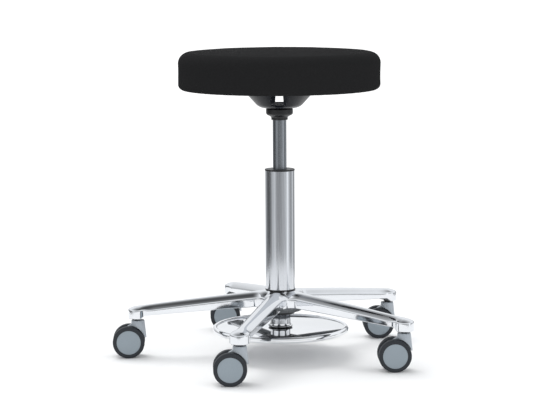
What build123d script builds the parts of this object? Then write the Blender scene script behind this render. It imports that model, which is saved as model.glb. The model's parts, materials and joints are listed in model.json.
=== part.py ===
from build123d import *
import os
from math import cos, radians, sin

os.makedirs("parts", exist_ok=True)

# Adjustable swivel stool on a five-arm base with twin-wheel casters. The seat is carried by a gas lift.
# A foot disc under the base tips on the edge of its flange and pushes the lift's release pin up.
# Origin: on the floor, on the column's axis. +Z is up. The casters trail towards -X.

# ---------------------------------------------------------------- driving dimensions (mm)
# overall
seat_d = 410.0            # cushion diameter
seat_h = 81.0             # cushion height, underside to crown
seat_underside_z = 546.0  # height of the cushion's underside, as stored
base_r = 292.0            # column axis to caster stem
arm_count = 5
first_arm = 36.0          # direction of the first arm, degrees
lift_stroke_up = 84.0     # travel left above the stored height
lift_stroke_down = 96.0   # travel left below the stored height
disc_d = 278.6            # foot disc

# casters
wheel_d = 65.0
wheel_w = 17.0
wheel_gap = 12.0          # between the two wheels of a pair
core_d = 49.0
trail = 19.0              # stem axis to axle
axle_d = 6.0
stem_d = 11.0
stem_neck_d = 13.0        # collar of the stem that shows between caster and arm
stem_engage = 20.0        # length held in the arm
hood_top_d = 26.4
hood_foot_d = 34.0
hood_foot_z = 41.0
stem_seat_h = 4.0         # stem's lower end above the hood's foot
hood_over_wheel = 11.0    # hood top above the wheel's top
stem_gap = 3.5            # hood top to arm
hood_rim_r = 1.5          # rounding of the hood's top edge
rib_back = 9.0            # rib behind the axle
rib_slope = 4.0
rib_high = 24.0           # rib's rear corner above the axle
rib_low = 9.0             # rib's lower corner below the axle
rib_drop = 7.0            # rib's front corner below the hood's foot
rib_bend_r = 6.0
axle_inset = 4.0          # axle end inside the wheel's face
wheel_face_t = 3.5        # closed outer face of a core
core_set_in = 0.4         # core's face inside the tyre's
tyre_edge_r = 3.0

# base
boss_d = 37.0             # round end of an arm
arm_root_w = 41.0         # arm width where it leaves the hub
arm_end_w = 33.0          # arm width at the boss
web_r = 30.0              # hollow corner between two arms
arm_edge_r = 8.0          # rounding along the arm's top edges
arm_wall = 4.0
sleeve_wall = 2.0         # sleeve that grips a caster stem
boss_drop = 27.0          # arm height at the boss
hub_top_z = 135.5
hub_bottom_z = 93.0
hub_bottom_r = 44.0
arm_bottom_z = 101.0      # underside of an arm beside the hub
arm_arch_z = 95.0         # underside of an arm, two thirds of the way out
arch_share = 0.62         # where that is, as a share of base_r
crest_share = 0.585       # where the arm's crest line is given a height
crest_level = 0.555       # that height, as a share of the fall from hub to boss
boss_fall = 3.2           # crest at the arm's end below the boss's nominal top
hub_flat = 1.5            # level rim of the hub outside the tube
web_step = 10.0           # hub's underside edge to the arms' underside
tip_lip = 7.0             # boss bottom below the arm's underside

# column
tube_d = 60.0
tube_wall = 2.0
tube_len = 243.0
trim_ring_h = 2.5
cap_h = 3.0
trim_lip = 0.6            # trim ring and cap outside the tube
cap_edge_r = 0.8
cap_plug_h = 5.0
spigot_d = 50.0           # what passes through the hub
spigot_top_len = 28.0     # what stands in the tube
cylinder_d = 28.0
cylinder_wall = 1.5
rod_d = 10.0
pin_d = 4.8
bush_len = 86.0
bush_wall = 3.0
bush_rib = 6.0

# foot release
housing_d = 58.0
housing_wall = 2.0
housing_edge = 0.8
cavity_h = 13.0           # room for the flange to tip
glide_inset = 0.4
screw_ring = 0.7          # disc screws' circle, as a share of the stub's radius
housing_z = 86.8          # lower end of the housing
ledge_h = 4.2
ledge_bore_d = 46.0
glide_h = 2.3
stub_d = 41.0
stub_flange_d = 52.0
stub_flange_h = 3.0
stub_core_r = 8.0          # hollow inside the stub, open below
stub_core_h = 24.0
disc_top_z = 60.0
disc_h = 10.0
disc_sheet = 2.5
washer_d = 55.0
washer_h = 1.5
stub_foot_d = 53.0        # thin foot of the stub, on the washer
stub_foot_h = 1.4
stub_flare_w = 1.2        # stub's foot flares out over this width and height
stub_flare_h = 3.1
stub_foot_edge_h = 0.8
pin_gap = 0.5             # stub to pin, with the disc level

# seat mount
bowl_floor_z = 508.2
bowl_wall = 2.5
bowl_floor_d = 80.2       # where the floor and the sloping wall would meet
bowl_rim_d = 147.0        # where the sloping wall and the flange would meet
bowl_flange_d = 178.0
bowl_bend_r = 24.0
bowl_rim_r = 4.0
flange_show = 1.0         # flange below the seat's underside
window_h = 26.0            # cut into the bowl's wall from below its bend up
window_w = 25.0
window_z = 516.0
window_dir = 82.8         # direction of one of the two opposite windows, degrees
neck_wall = 2.8            # collar's neck round the cylinder
collar_wall = 9.3         # collar round the socket
collar_h = 16.6
collar_slope_h = 4.6      # cone from neck to collar
collar_edge_r = 1.2
neck_h = 6.4
neck_straight_h = 5.0
neck_flare = 0.7
cone_start = 8.0          # cylinder's cone above the neck's lower end
socket_set_down = 1.0     # socket and cylinder ends under the windows
collar_gap = 1.2          # collar to bowl
socket_wall = 4.0         # socket round the cylinder's cone
screw_circle_d = 164.0
screw_count = 4
screw_dir = 45            # direction of the first screw, degrees
screw_d = 6.0

# cushion
cover_t = 1.5
board_t = 12.0
wrap_w = 15.0             # cover turned in under the board
cloth_t = 1.0
board_inset = 14.0        # board edge inside the cover
shoulder_r = 22.0
corner_r = 11.0
crown_flat_d = 120.0      # level part in the middle of the cushion
crown_rise = 4.0          # middle above the shoulder

# fits, all radial or axial gaps
press_gap = 0.02
run_gap = 0.05
slip_gap = 0.1
face_gap = 0.1
clear_gap = 1.5

# ---------------------------------------------------------------- sizes that follow
wheel_r = wheel_d / 2
hood_top_z = wheel_d + hood_over_wheel
boss_z = hood_top_z + stem_gap
stem_z = hood_foot_z + stem_seat_h
boss_top_z = boss_z + boss_drop
wheel_y = wheel_gap / 2                                   # inner face of a wheel
tube_z = hub_top_z + trim_ring_h
tube_top_z = tube_z + tube_len
tube_bore_r = tube_d / 2 - tube_wall
cylinder_r = cylinder_d / 2
ledge_z = housing_z + ledge_h
flange_z = ledge_z + glide_h + 2 * face_gap               # underside of the stub's flange
stub_top_z = flange_z + stub_flange_h
cavity_top_z = ledge_z + cavity_h
collar_top_z = bowl_floor_z - collar_gap
neck_z = collar_top_z - collar_h - neck_h
neck_r = cylinder_r + neck_wall
socket_r = cylinder_r + socket_wall
collar_r = socket_r + collar_wall
stem_dirs = [first_arm + 360.0 / arm_count * i for i in range(arm_count)]
stem_spots = [(base_r * cos(radians(a)), base_r * sin(radians(a))) for a in stem_dirs]


def save(piece, name):
    """Name a finished piece and write it as one STEP file."""
    piece.part.label = name
    export_step(piece.part, f"parts/{name}.step")


def turned(points):
    """Half section of a turned piece from its (radius, height) corners."""
    with BuildSketch(Plane.XZ) as half:
        with BuildLine():
            Polyline(*points, close=True)
        make_face()
    return half.sketch


# ---------------------------------------------------------------- cast base
def arm_plan(end_r, width_off):
    """Corners of one arm seen from above, along +X, narrowed by width_off on each side."""
    root = arm_root_w / 2 - width_off
    end = arm_end_w / 2 - width_off
    return [(0, -root), (end_r, -end), (end_r, end), (0, root)]


def arm_envelope(top_off):
    """Half section that gives every arm its height: level under the column, then falling to the boss."""
    reach = base_r + boss_d / 2 + clear_gap
    hub_edge = (tube_d / 2 + hub_flat, hub_top_z - top_off)
    crest_mid = (crest_share * base_r, boss_top_z + crest_level * (hub_top_z - boss_top_z) - top_off)
    crest_end = (reach, boss_top_z - boss_fall - top_off)
    floor_z = boss_z - arm_wall
    with BuildSketch(Plane.XZ) as half:
        with BuildLine():
            ThreePointArc(hub_edge, crest_mid, crest_end)
            Polyline(crest_end, (reach, floor_z), (0, floor_z), (0, hub_top_z - top_off), hub_edge)
        make_face()
    return half.sketch


def underside():
    """Half section of the space under the hub and the arms."""
    web = (hub_bottom_r + web_step, arm_bottom_z)
    tip = (base_r - boss_d / 2, boss_z + tip_lip)
    with BuildSketch(Plane.XZ) as half:
        with BuildLine():
            Polyline((0, 0), (0, hub_bottom_z), (hub_bottom_r, hub_bottom_z), web)
            ThreePointArc(web, (arch_share * base_r, arm_arch_z), tip)
            Polyline(tip, (base_r * 2, tip[1]), (base_r * 2, 0), (0, 0))
        make_face()
    return half.sketch


with BuildPart() as arm_pockets:
    with BuildSketch(Plane.XY.offset(boss_z - arm_wall)):
        with PolarLocations(0, arm_count, first_arm):
            Polygon(*arm_plan(base_r - boss_d / 2, arm_wall), align=None)
        Circle(hub_bottom_r + web_step + arm_wall / 2, mode=Mode.SUBTRACT)
    extrude(amount=hub_top_z)
    revolve(arm_envelope(arm_edge_r), axis=Axis.Z, mode=Mode.INTERSECT)

with BuildPart() as base_star:
    with BuildSketch(Plane.XY.offset(boss_z)) as star_plan:
        with PolarLocations(0, arm_count, first_arm):
            Polygon(*arm_plan(base_r, 0.0), align=None)
        with PolarLocations(base_r, arm_count, first_arm):
            Circle(boss_d / 2)
        corners = star_plan.vertices().filter_by(lambda v: Vector(v.X, v.Y, 0).length < 2 * arm_root_w)
        fillet(corners, web_r)
    extrude(amount=hub_top_z)
    revolve(arm_envelope(0.0), axis=Axis.Z, mode=Mode.INTERSECT)
    top_face = base_star.faces().filter_by(lambda f: f.center().Z > hub_bottom_z).sort_by(SortBy.AREA)[-1]
    fillet(top_face.outer_wire().edges(), arm_edge_r)
    revolve(underside(), axis=Axis.Z, mode=Mode.SUBTRACT)
    with BuildSketch(Plane.XY.offset(boss_z)):
        with PolarLocations(base_r, arm_count, first_arm):
            Circle(boss_d / 2)
    extrude(amount=boss_drop - arm_edge_r - arm_wall / 2)
    add(arm_pockets.part, mode=Mode.SUBTRACT)
    # bore for the spigot, wider seat for the release housing, sockets for the caster sleeves
    with BuildSketch(Plane.XY.offset(cavity_top_z)):
        Circle(spigot_d / 2 + run_gap)
    extrude(amount=hub_top_z, mode=Mode.SUBTRACT)
    with BuildSketch(Plane.XY.offset(cavity_top_z)):
        Circle(housing_d / 2 + run_gap)
    extrude(amount=-hub_top_z, mode=Mode.SUBTRACT)
    with BuildSketch(Plane.XY.offset(boss_z)):
        with PolarLocations(base_r, arm_count, first_arm):
            Circle(stem_d / 2 + sleeve_wall)
    extrude(amount=stem_engage, mode=Mode.SUBTRACT)
save(base_star, "base_star")


with BuildPart() as stem_sleeves:
    with BuildSketch(Plane.XY.offset(boss_z)):
        with Locations(*stem_spots):
            Circle(stem_d / 2 + sleeve_wall - press_gap)
            Circle(stem_d / 2 + press_gap, mode=Mode.SUBTRACT)
    extrude(amount=stem_engage - face_gap)
save(stem_sleeves, "stem_sleeves")

with BuildPart() as caster_stems:
    with BuildSketch(Plane.XY.offset(stem_z)):
        with Locations(*stem_spots):
            Circle(stem_d / 2)
    extrude(amount=boss_z + stem_engage - clear_gap - stem_z)
    with BuildSketch(Plane.XY.offset(hood_top_z + face_gap)):
        with Locations(*stem_spots):
            Circle(stem_neck_d / 2)
    extrude(amount=stem_gap - 2 * face_gap)
save(caster_stems, "caster_stems")

# ---------------------------------------------------------------- column
tube_r = tube_d / 2
spigot_r = spigot_d / 2
with BuildPart() as trim_ring:
    with BuildSketch(Plane.XY.offset(hub_top_z)):
        Circle(tube_r + trim_lip)
        Circle(spigot_r + slip_gap, mode=Mode.SUBTRACT)
    extrude(amount=trim_ring_h)
save(trim_ring, "trim_ring")

with BuildPart() as column_tube:
    with BuildSketch(Plane.XY.offset(tube_z)):
        Circle(tube_r)
        Circle(tube_bore_r, mode=Mode.SUBTRACT)
    extrude(amount=tube_len)
    fillet(column_tube.edges().group_by(Axis.Z)[-1], tube_wall / 4)
save(column_tube, "column_tube")

with BuildPart() as column_cap:
    cap_bore_r = cylinder_r + clear_gap / 3
    with BuildSketch(Plane.XY.offset(tube_top_z)):
        Circle(tube_r + trim_lip)
        Circle(cap_bore_r, mode=Mode.SUBTRACT)
    extrude(amount=cap_h)
    fillet(column_cap.edges().group_by(Axis.Z)[-1], cap_edge_r)
    with BuildSketch(Plane.XY.offset(tube_top_z)):
        Circle(tube_bore_r - press_gap)
        Circle(tube_bore_r - bush_wall, mode=Mode.SUBTRACT)
    extrude(amount=-cap_plug_h)
save(column_cap, "column_cap")

bush_top_z = tube_top_z - cap_plug_h
bush_z = bush_top_z - bush_len
with BuildPart() as guide_bush:
    sleeve_r = cylinder_r + run_gap
    with BuildSketch(Plane.XY.offset(bush_z)):
        Circle(sleeve_r + bush_wall)
        Circle(sleeve_r, mode=Mode.SUBTRACT)
    extrude(amount=bush_len)
    for rib_z in (bush_z, (bush_z + bush_top_z - bush_rib) / 2, bush_top_z - bush_rib):
        with BuildSketch(Plane.XY.offset(rib_z)):
            Circle(tube_bore_r - press_gap)
            Circle(sleeve_r, mode=Mode.SUBTRACT)
        extrude(amount=bush_rib)
save(guide_bush, "guide_bush")

# spigot: a turned plug that joins hub and tube, with a floor that carries the thrust bearing
floor_h = 4.0
bearing_h = 6.0
floor_top_z = cavity_top_z + floor_h
bearing_top_z = floor_top_z + bearing_h
spigot_bore_r = cylinder_r + clear_gap
spigot_end_z = tube_z + spigot_top_len
with BuildPart() as column_spigot:
    revolve(turned([
        (rod_d / 2 + run_gap, cavity_top_z),
        (spigot_r, cavity_top_z),
        (spigot_r, tube_z + face_gap),
        (tube_bore_r - press_gap, tube_z + face_gap),
        (tube_bore_r - press_gap, spigot_end_z),
        (spigot_bore_r, spigot_end_z),
        (spigot_bore_r, floor_top_z),
        (rod_d / 2 + run_gap, floor_top_z),
    ]), axis=Axis.Z)
save(column_spigot, "column_spigot")

# thrust bearing: two races with a ring of balls between them
ball_d = 3.0
ball_count = 10
race_h = (bearing_h - ball_d) / 2
ball_circle_r = (rod_d / 2 + spigot_bore_r) / 2
with BuildPart() as thrust_bearing:
    for race_z in (floor_top_z, bearing_top_z - race_h):
        with BuildSketch(Plane.XY.offset(race_z)):
            Circle(spigot_bore_r - slip_gap)
            Circle(rod_d / 2 + 5 * run_gap, mode=Mode.SUBTRACT)
        extrude(amount=race_h)
    with Locations((0, 0, (floor_top_z + bearing_top_z) / 2)):
        with PolarLocations(ball_circle_r, ball_count):
            Sphere(ball_d / 2 - press_gap)
save(thrust_bearing, "thrust_bearing")

# ---------------------------------------------------------------- rod and pin inside the column
seal_h = 14.0
piston_h = 12.0
rod_below_floor = 3.0
rod_shoulder_w = 4.0
rod_shoulder_h = 2.0
clip_h = 1.2
clip_w = 2.5              # clip outside the rod
clip_groove = 0.6
clip_z = cavity_top_z - face_gap - clip_h - clip_groove
cylinder_room = 4.0       # left under the cylinder at the bottom of its stroke
cylinder_z = bearing_top_z + lift_stroke_down + cylinder_room       # lower end of the cylinder, as stored
piston_z = cylinder_z + lift_stroke_up + seal_h + clear_gap
rod_z = cavity_top_z - rod_below_floor
with BuildPart() as piston_rod:
    revolve(turned([
        (pin_d / 2 + slip_gap, rod_z),
        (rod_d / 2, rod_z),
        (rod_d / 2, bearing_top_z + face_gap),
        (rod_d / 2 + rod_shoulder_w, bearing_top_z + face_gap),
        (rod_d / 2 + rod_shoulder_w, bearing_top_z + rod_shoulder_h),
        (rod_d / 2, bearing_top_z + rod_shoulder_h),
        (rod_d / 2, piston_z + piston_h),
        (pin_d / 2 + slip_gap, piston_z + piston_h),
    ]), axis=Axis.Z)
    with BuildSketch(Plane.XY.offset(clip_z)):
        Circle(rod_d)
        Circle(rod_d / 2 - clip_groove, mode=Mode.SUBTRACT)
    extrude(amount=clip_h, mode=Mode.SUBTRACT)
save(piston_rod, "piston_rod")

with BuildPart() as rod_clip:
    with BuildSketch(Plane.XY.offset(clip_z + press_gap)):
        Circle(rod_d / 2 + clip_w)
        Circle(rod_d / 2 - clip_groove + press_gap, mode=Mode.SUBTRACT)
        with Locations((rod_d / 2, 0)):
            Rectangle(rod_d, rod_d / 3, mode=Mode.SUBTRACT)
    extrude(amount=clip_h - 2 * press_gap)
save(rod_clip, "rod_clip")

with BuildPart() as piston:
    with BuildSketch(Plane.XY.offset(piston_z)):
        Circle(cylinder_r - cylinder_wall - run_gap)
        Circle(rod_d / 2 + press_gap, mode=Mode.SUBTRACT)
    extrude(amount=piston_h)
save(piston, "piston")

pin_z = stub_top_z + pin_gap
pin_head_h = 1.5
pin_head_w = 0.8
pin_edge_r = 0.5
with BuildPart() as release_pin:
    revolve(turned([
        (0, pin_z),
        (pin_d / 2 + pin_head_w, pin_z),
        (pin_d / 2 + pin_head_w, pin_z + pin_head_h),
        (pin_d / 2, pin_z + pin_head_h),
        (pin_d / 2, piston_z + piston_h),
        (0, piston_z + piston_h),
    ]), axis=Axis.Z)
    fillet(release_pin.edges().group_by(Axis.Z)[0], pin_edge_r)
save(release_pin, "release_pin")

# ---------------------------------------------------------------- gas cylinder and seat mount
cone_z = neck_z + cone_start
cylinder_top_z = window_z - 3 * socket_set_down
cone_drop = 0.8           # radius lost along the cone
bore_r = cylinder_r - cylinder_wall
with BuildPart() as gas_cylinder:
    revolve(turned([
        (bore_r, cylinder_z),
        (cylinder_r, cylinder_z),
        (cylinder_r, cone_z),
        (cylinder_r - cone_drop, cylinder_top_z),
        (0, cylinder_top_z),
        (0, cone_z),
        (bore_r, cone_z),
    ]), axis=Axis.Z)
save(gas_cylinder, "gas_cylinder")

with BuildPart() as rod_seal:
    with BuildSketch(Plane.XY.offset(cylinder_z + press_gap)):
        Circle(bore_r - press_gap)
        Circle(rod_d / 2 + run_gap, mode=Mode.SUBTRACT)
    extrude(amount=seal_h)
save(rod_seal, "rod_seal")

socket_top_z = window_z - socket_set_down
cone_share = (socket_top_z - cone_z) / (cylinder_top_z - cone_z)
with BuildPart() as mount_socket:
    revolve(turned([
        (cylinder_r + press_gap, cone_z),
        (socket_r, cone_z),
        (socket_r, socket_top_z),
        (cylinder_r - cone_drop * cone_share + press_gap, socket_top_z),
    ]), axis=Axis.Z)
save(mount_socket, "mount_socket")

with BuildPart() as mount_collar:
    revolve(turned([
        (cylinder_r + slip_gap, neck_z),
        (neck_r, neck_z),
        (neck_r, neck_z + neck_straight_h),
        (neck_r + neck_flare, neck_z + neck_h),
        (collar_r, neck_z + neck_h + collar_slope_h),
        (collar_r, collar_top_z),
        (socket_r + slip_gap, collar_top_z),
        (socket_r + slip_gap, cone_z - face_gap),
        (cylinder_r + slip_gap, cone_z - face_gap),
    ]), axis=Axis.Z)
    fillet(mount_collar.edges().group_by(Axis.Z)[-1].sort_by(SortBy.RADIUS)[-1], collar_edge_r)
save(mount_collar, "mount_collar")

flange_low_z = seat_underside_z - flange_show
with BuildPart() as mount_bowl:
    with BuildSketch(Plane.XZ):
        with BuildLine():
            low = bowl_floor_z + bowl_wall / 2
            high = flange_low_z + bowl_wall / 2
            bowl_line = FilletPolyline(
                (socket_r + press_gap, low),
                (bowl_floor_d / 2, low),
                (bowl_rim_d / 2, high),
                (bowl_flange_d / 2, high),
                radius=[bowl_bend_r, bowl_rim_r],
            )
        trace(bowl_line, bowl_wall)
    revolve(axis=Axis.Z)
    across = (-sin(radians(window_dir)), cos(radians(window_dir)), 0)
    through = (cos(radians(window_dir)), sin(radians(window_dir)), 0)
    with BuildSketch(Plane(origin=(0, 0, 0), x_dir=across, z_dir=through)):
        with Locations((0, window_z)):
            Rectangle(window_w, window_h, align=(Align.CENTER, Align.MIN))
    extrude(amount=bowl_rim_d / 2, both=True, mode=Mode.SUBTRACT)
    with BuildSketch(Plane.XY.offset(flange_low_z)):
        with PolarLocations(screw_circle_d / 2, screw_count, screw_dir):
            Circle(screw_d / 2 + slip_gap)
    extrude(amount=2 * bowl_wall, mode=Mode.SUBTRACT)
save(mount_bowl, "mount_bowl")

# ---------------------------------------------------------------- cushion
def cushion(radius, low_z, high_z, corner, shoulder):
    """Half section of the cushion: rounded lower corner, upright side, soft shoulder, slight crown."""
    start_z = high_z - crown_rise - shoulder
    with BuildSketch(Plane.XZ) as half:
        with BuildLine():
            Line((0, high_z), (0, low_z))
            Line((0, low_z), (radius - corner, low_z))
            low_arc = JernArc((radius - corner, low_z), (1, 0), corner, 90)
            Line(low_arc @ 1, (radius, start_z))
            top_arc = JernArc((radius, start_z), (0, 1), shoulder, 84)
            Line((0, high_z), (crown_flat_d / 2, high_z))
            Spline((crown_flat_d / 2, high_z), top_arc @ 1, tangents=[(1, 0), -(top_arc % 1)])
        make_face()
    return half.sketch


seat_r = seat_d / 2
seat_top_z = seat_underside_z + seat_h
board_z = seat_underside_z + bowl_wall - flange_show
board_r = seat_r - board_inset
wrap_r = board_r - wrap_w                                   # how far the cover is turned in under the board
cover_outside = cushion(seat_r, seat_underside_z, seat_top_z, corner_r, shoulder_r)
inside_corner_r = corner_r - cover_t
inside_shoulder_r = shoulder_r - cover_t
cover_inside = cushion(seat_r - cover_t, board_z, seat_top_z - cover_t, inside_corner_r, inside_shoulder_r)

with BuildPart() as seat_cover:
    revolve(cover_outside, axis=Axis.Z)
    revolve(cover_inside, axis=Axis.Z, mode=Mode.SUBTRACT)
    with BuildSketch(Plane.XY.offset(seat_underside_z)):
        Circle(wrap_r)
    extrude(amount=cover_t, mode=Mode.SUBTRACT)
save(seat_cover, "seat_cover")

with BuildPart() as seat_foam:
    revolve(cover_inside, axis=Axis.Z)
    with BuildSketch(Plane.XY.offset(board_z)):
        Circle(board_r)
    extrude(amount=board_t, mode=Mode.SUBTRACT)
save(seat_foam, "seat_foam")

nut_flange_d = 18.0
nut_flange_h = 1.5
nut_barrel_d = 8.4
nut_set_in = 1.0
head_h = 0.55 * screw_d
head_r = 0.85 * screw_d
head_edge_r = 1.2
hex_depth = 0.3 * screw_d
with BuildPart() as seat_board:
    with BuildSketch(Plane.XY.offset(board_z)):
        Circle(board_r)
    extrude(amount=board_t)
    with Locations((0, 0, board_z + board_t)):
        with PolarLocations(screw_circle_d / 2, screw_count, screw_dir):
            CounterBoreHole(nut_barrel_d / 2 + press_gap, nut_flange_d / 2 + press_gap, nut_flange_h)
save(seat_board, "seat_board")

with BuildPart() as tee_nuts:
    with BuildSketch(Plane.XY.offset(board_z + nut_set_in)):
        with PolarLocations(screw_circle_d / 2, screw_count, screw_dir):
            Circle(nut_barrel_d / 2)
    extrude(amount=board_t - nut_set_in)
    with BuildSketch(Plane.XY.offset(board_z + board_t - nut_flange_h)):
        with PolarLocations(screw_circle_d / 2, screw_count, screw_dir):
            Circle(nut_flange_d / 2)
    extrude(amount=nut_flange_h)
    with BuildSketch(Plane.XY.offset(board_z)):
        with PolarLocations(screw_circle_d / 2, screw_count, screw_dir):
            Circle(screw_d / 2 + press_gap)
    extrude(amount=board_t, mode=Mode.SUBTRACT)
save(tee_nuts, "tee_nuts")

with BuildPart() as mount_screws:
    with BuildSketch(Plane.XY.offset(flange_low_z)):
        with PolarLocations(screw_circle_d / 2, screw_count, screw_dir):
            Circle(screw_d / 2)
    extrude(amount=board_t)
    with BuildSketch(Plane.XY.offset(flange_low_z)):
        with PolarLocations(screw_circle_d / 2, screw_count, screw_dir):
            Circle(head_r)
    extrude(amount=-head_h)
    fillet(mount_screws.edges().group_by(Axis.Z)[0], head_edge_r)
    with BuildSketch(Plane.XY.offset(flange_low_z - head_h)):
        with PolarLocations(screw_circle_d / 2, screw_count, screw_dir):
            RegularPolygon(screw_d / 3, 6)
    extrude(amount=hex_depth, mode=Mode.SUBTRACT)
save(mount_screws, "mount_screws")

with BuildPart() as underside_cloth:
    with BuildSketch(Plane.XY.offset(board_z - cloth_t)):
        Circle(wrap_r - slip_gap)
        Circle(bowl_flange_d / 2 + clear_gap, mode=Mode.SUBTRACT)
    extrude(amount=cloth_t)
save(underside_cloth, "underside_cloth")

# ---------------------------------------------------------------- foot release
housing_r = housing_d / 2
cavity_r = housing_r - housing_wall
with BuildPart() as foot_housing:
    revolve(turned([
        (ledge_bore_d / 2, housing_z),
        (housing_r, housing_z),
        (housing_r, cavity_top_z - face_gap),
        (cavity_r, cavity_top_z - face_gap),
        (cavity_r, ledge_z),
        (ledge_bore_d / 2, ledge_z),
    ]), axis=Axis.Z)
    chamfer(foot_housing.edges().group_by(Axis.Z)[0].sort_by(SortBy.RADIUS)[-1], housing_edge)
save(foot_housing, "foot_housing")

with BuildPart() as glide_ring:
    with BuildSketch(Plane.XY.offset(ledge_z + face_gap)):
        Circle(cavity_r - slip_gap)
        Circle(ledge_bore_d / 2 + glide_inset, mode=Mode.SUBTRACT)
    extrude(amount=glide_h)
save(glide_ring, "glide_ring")

stub_r = stub_d / 2
stub_z = disc_top_z + washer_h
disc_screw_circle_r = screw_ring * stub_r
disc_screw_r = 2.5
disc_screw_len = 12.0
disc_head_r = 4.5
disc_head_edge_r = 1.0
with BuildPart() as disc_stub:
    revolve(turned([
        (0, stub_z + stub_core_h),
        (stub_core_r, stub_z + stub_core_h),
        (stub_core_r, stub_z),
        (stub_foot_d / 2, stub_z),
        (stub_foot_d / 2, stub_z + stub_foot_edge_h),
        (stub_r + stub_flare_w, stub_z + stub_foot_h),
        (stub_r, stub_z + stub_flare_h),
        (stub_r, flange_z),
        (stub_flange_d / 2, flange_z),
        (stub_flange_d / 2, stub_top_z),
        (0, stub_top_z),
    ]), axis=Axis.Z)
    with BuildSketch(Plane.XY.offset(stub_z)):
        with PolarLocations(disc_screw_circle_r, 3):
            Circle(disc_screw_r + press_gap)
    extrude(amount=disc_screw_len, mode=Mode.SUBTRACT)
save(disc_stub, "disc_stub")

with BuildPart() as stub_washer:
    with BuildSketch(Plane.XY.offset(disc_top_z)):
        Circle(washer_d / 2)
        with PolarLocations(disc_screw_circle_r, 3):
            Circle(disc_screw_r + press_gap, mode=Mode.SUBTRACT)
    extrude(amount=washer_h)
save(stub_washer, "stub_washer")

disc_r = disc_d / 2
rim_r = disc_h / 2
with BuildPart() as foot_disc:
    with BuildSketch(Plane.XZ):
        with BuildLine():
            low_z = disc_top_z - disc_h
            under_z = disc_top_z - disc_sheet
            Line((0, under_z), (0, disc_top_z))
            Line((0, disc_top_z), (disc_r - rim_r, disc_top_z))
            rim_z = disc_top_z - rim_r
            ThreePointArc((disc_r - rim_r, disc_top_z), (disc_r, rim_z), (disc_r - rim_r, low_z))
            Line((disc_r - rim_r, low_z), (disc_r - rim_r, low_z + disc_sheet))
            sheet_low = (disc_r - rim_r, low_z + disc_sheet)
            sheet_high = (disc_r - rim_r, under_z)
            ThreePointArc(sheet_low, (disc_r - disc_sheet, rim_z), sheet_high)
            Line((disc_r - rim_r, under_z), (0, under_z))
        make_face()
    revolve(axis=Axis.Z)
    with BuildSketch(Plane.XY.offset(disc_top_z)):
        with PolarLocations(disc_screw_circle_r, 3):
            Circle(disc_screw_r + press_gap)
    extrude(amount=-disc_sheet, mode=Mode.SUBTRACT)
save(foot_disc, "foot_disc")

with BuildPart() as plate_screws:
    with BuildSketch(Plane.XY.offset(under_z)):
        with PolarLocations(disc_screw_circle_r, 3):
            Circle(disc_screw_r)
    extrude(amount=disc_sheet + washer_h + disc_screw_len - clear_gap)
    with BuildSketch(Plane.XY.offset(under_z)):
        with PolarLocations(disc_screw_circle_r, 3):
            Circle(disc_head_r)
    extrude(amount=-disc_screw_r)
    fillet(plate_screws.edges().group_by(Axis.Z)[0], disc_head_edge_r)
save(plate_screws, "plate_screws")

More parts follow.
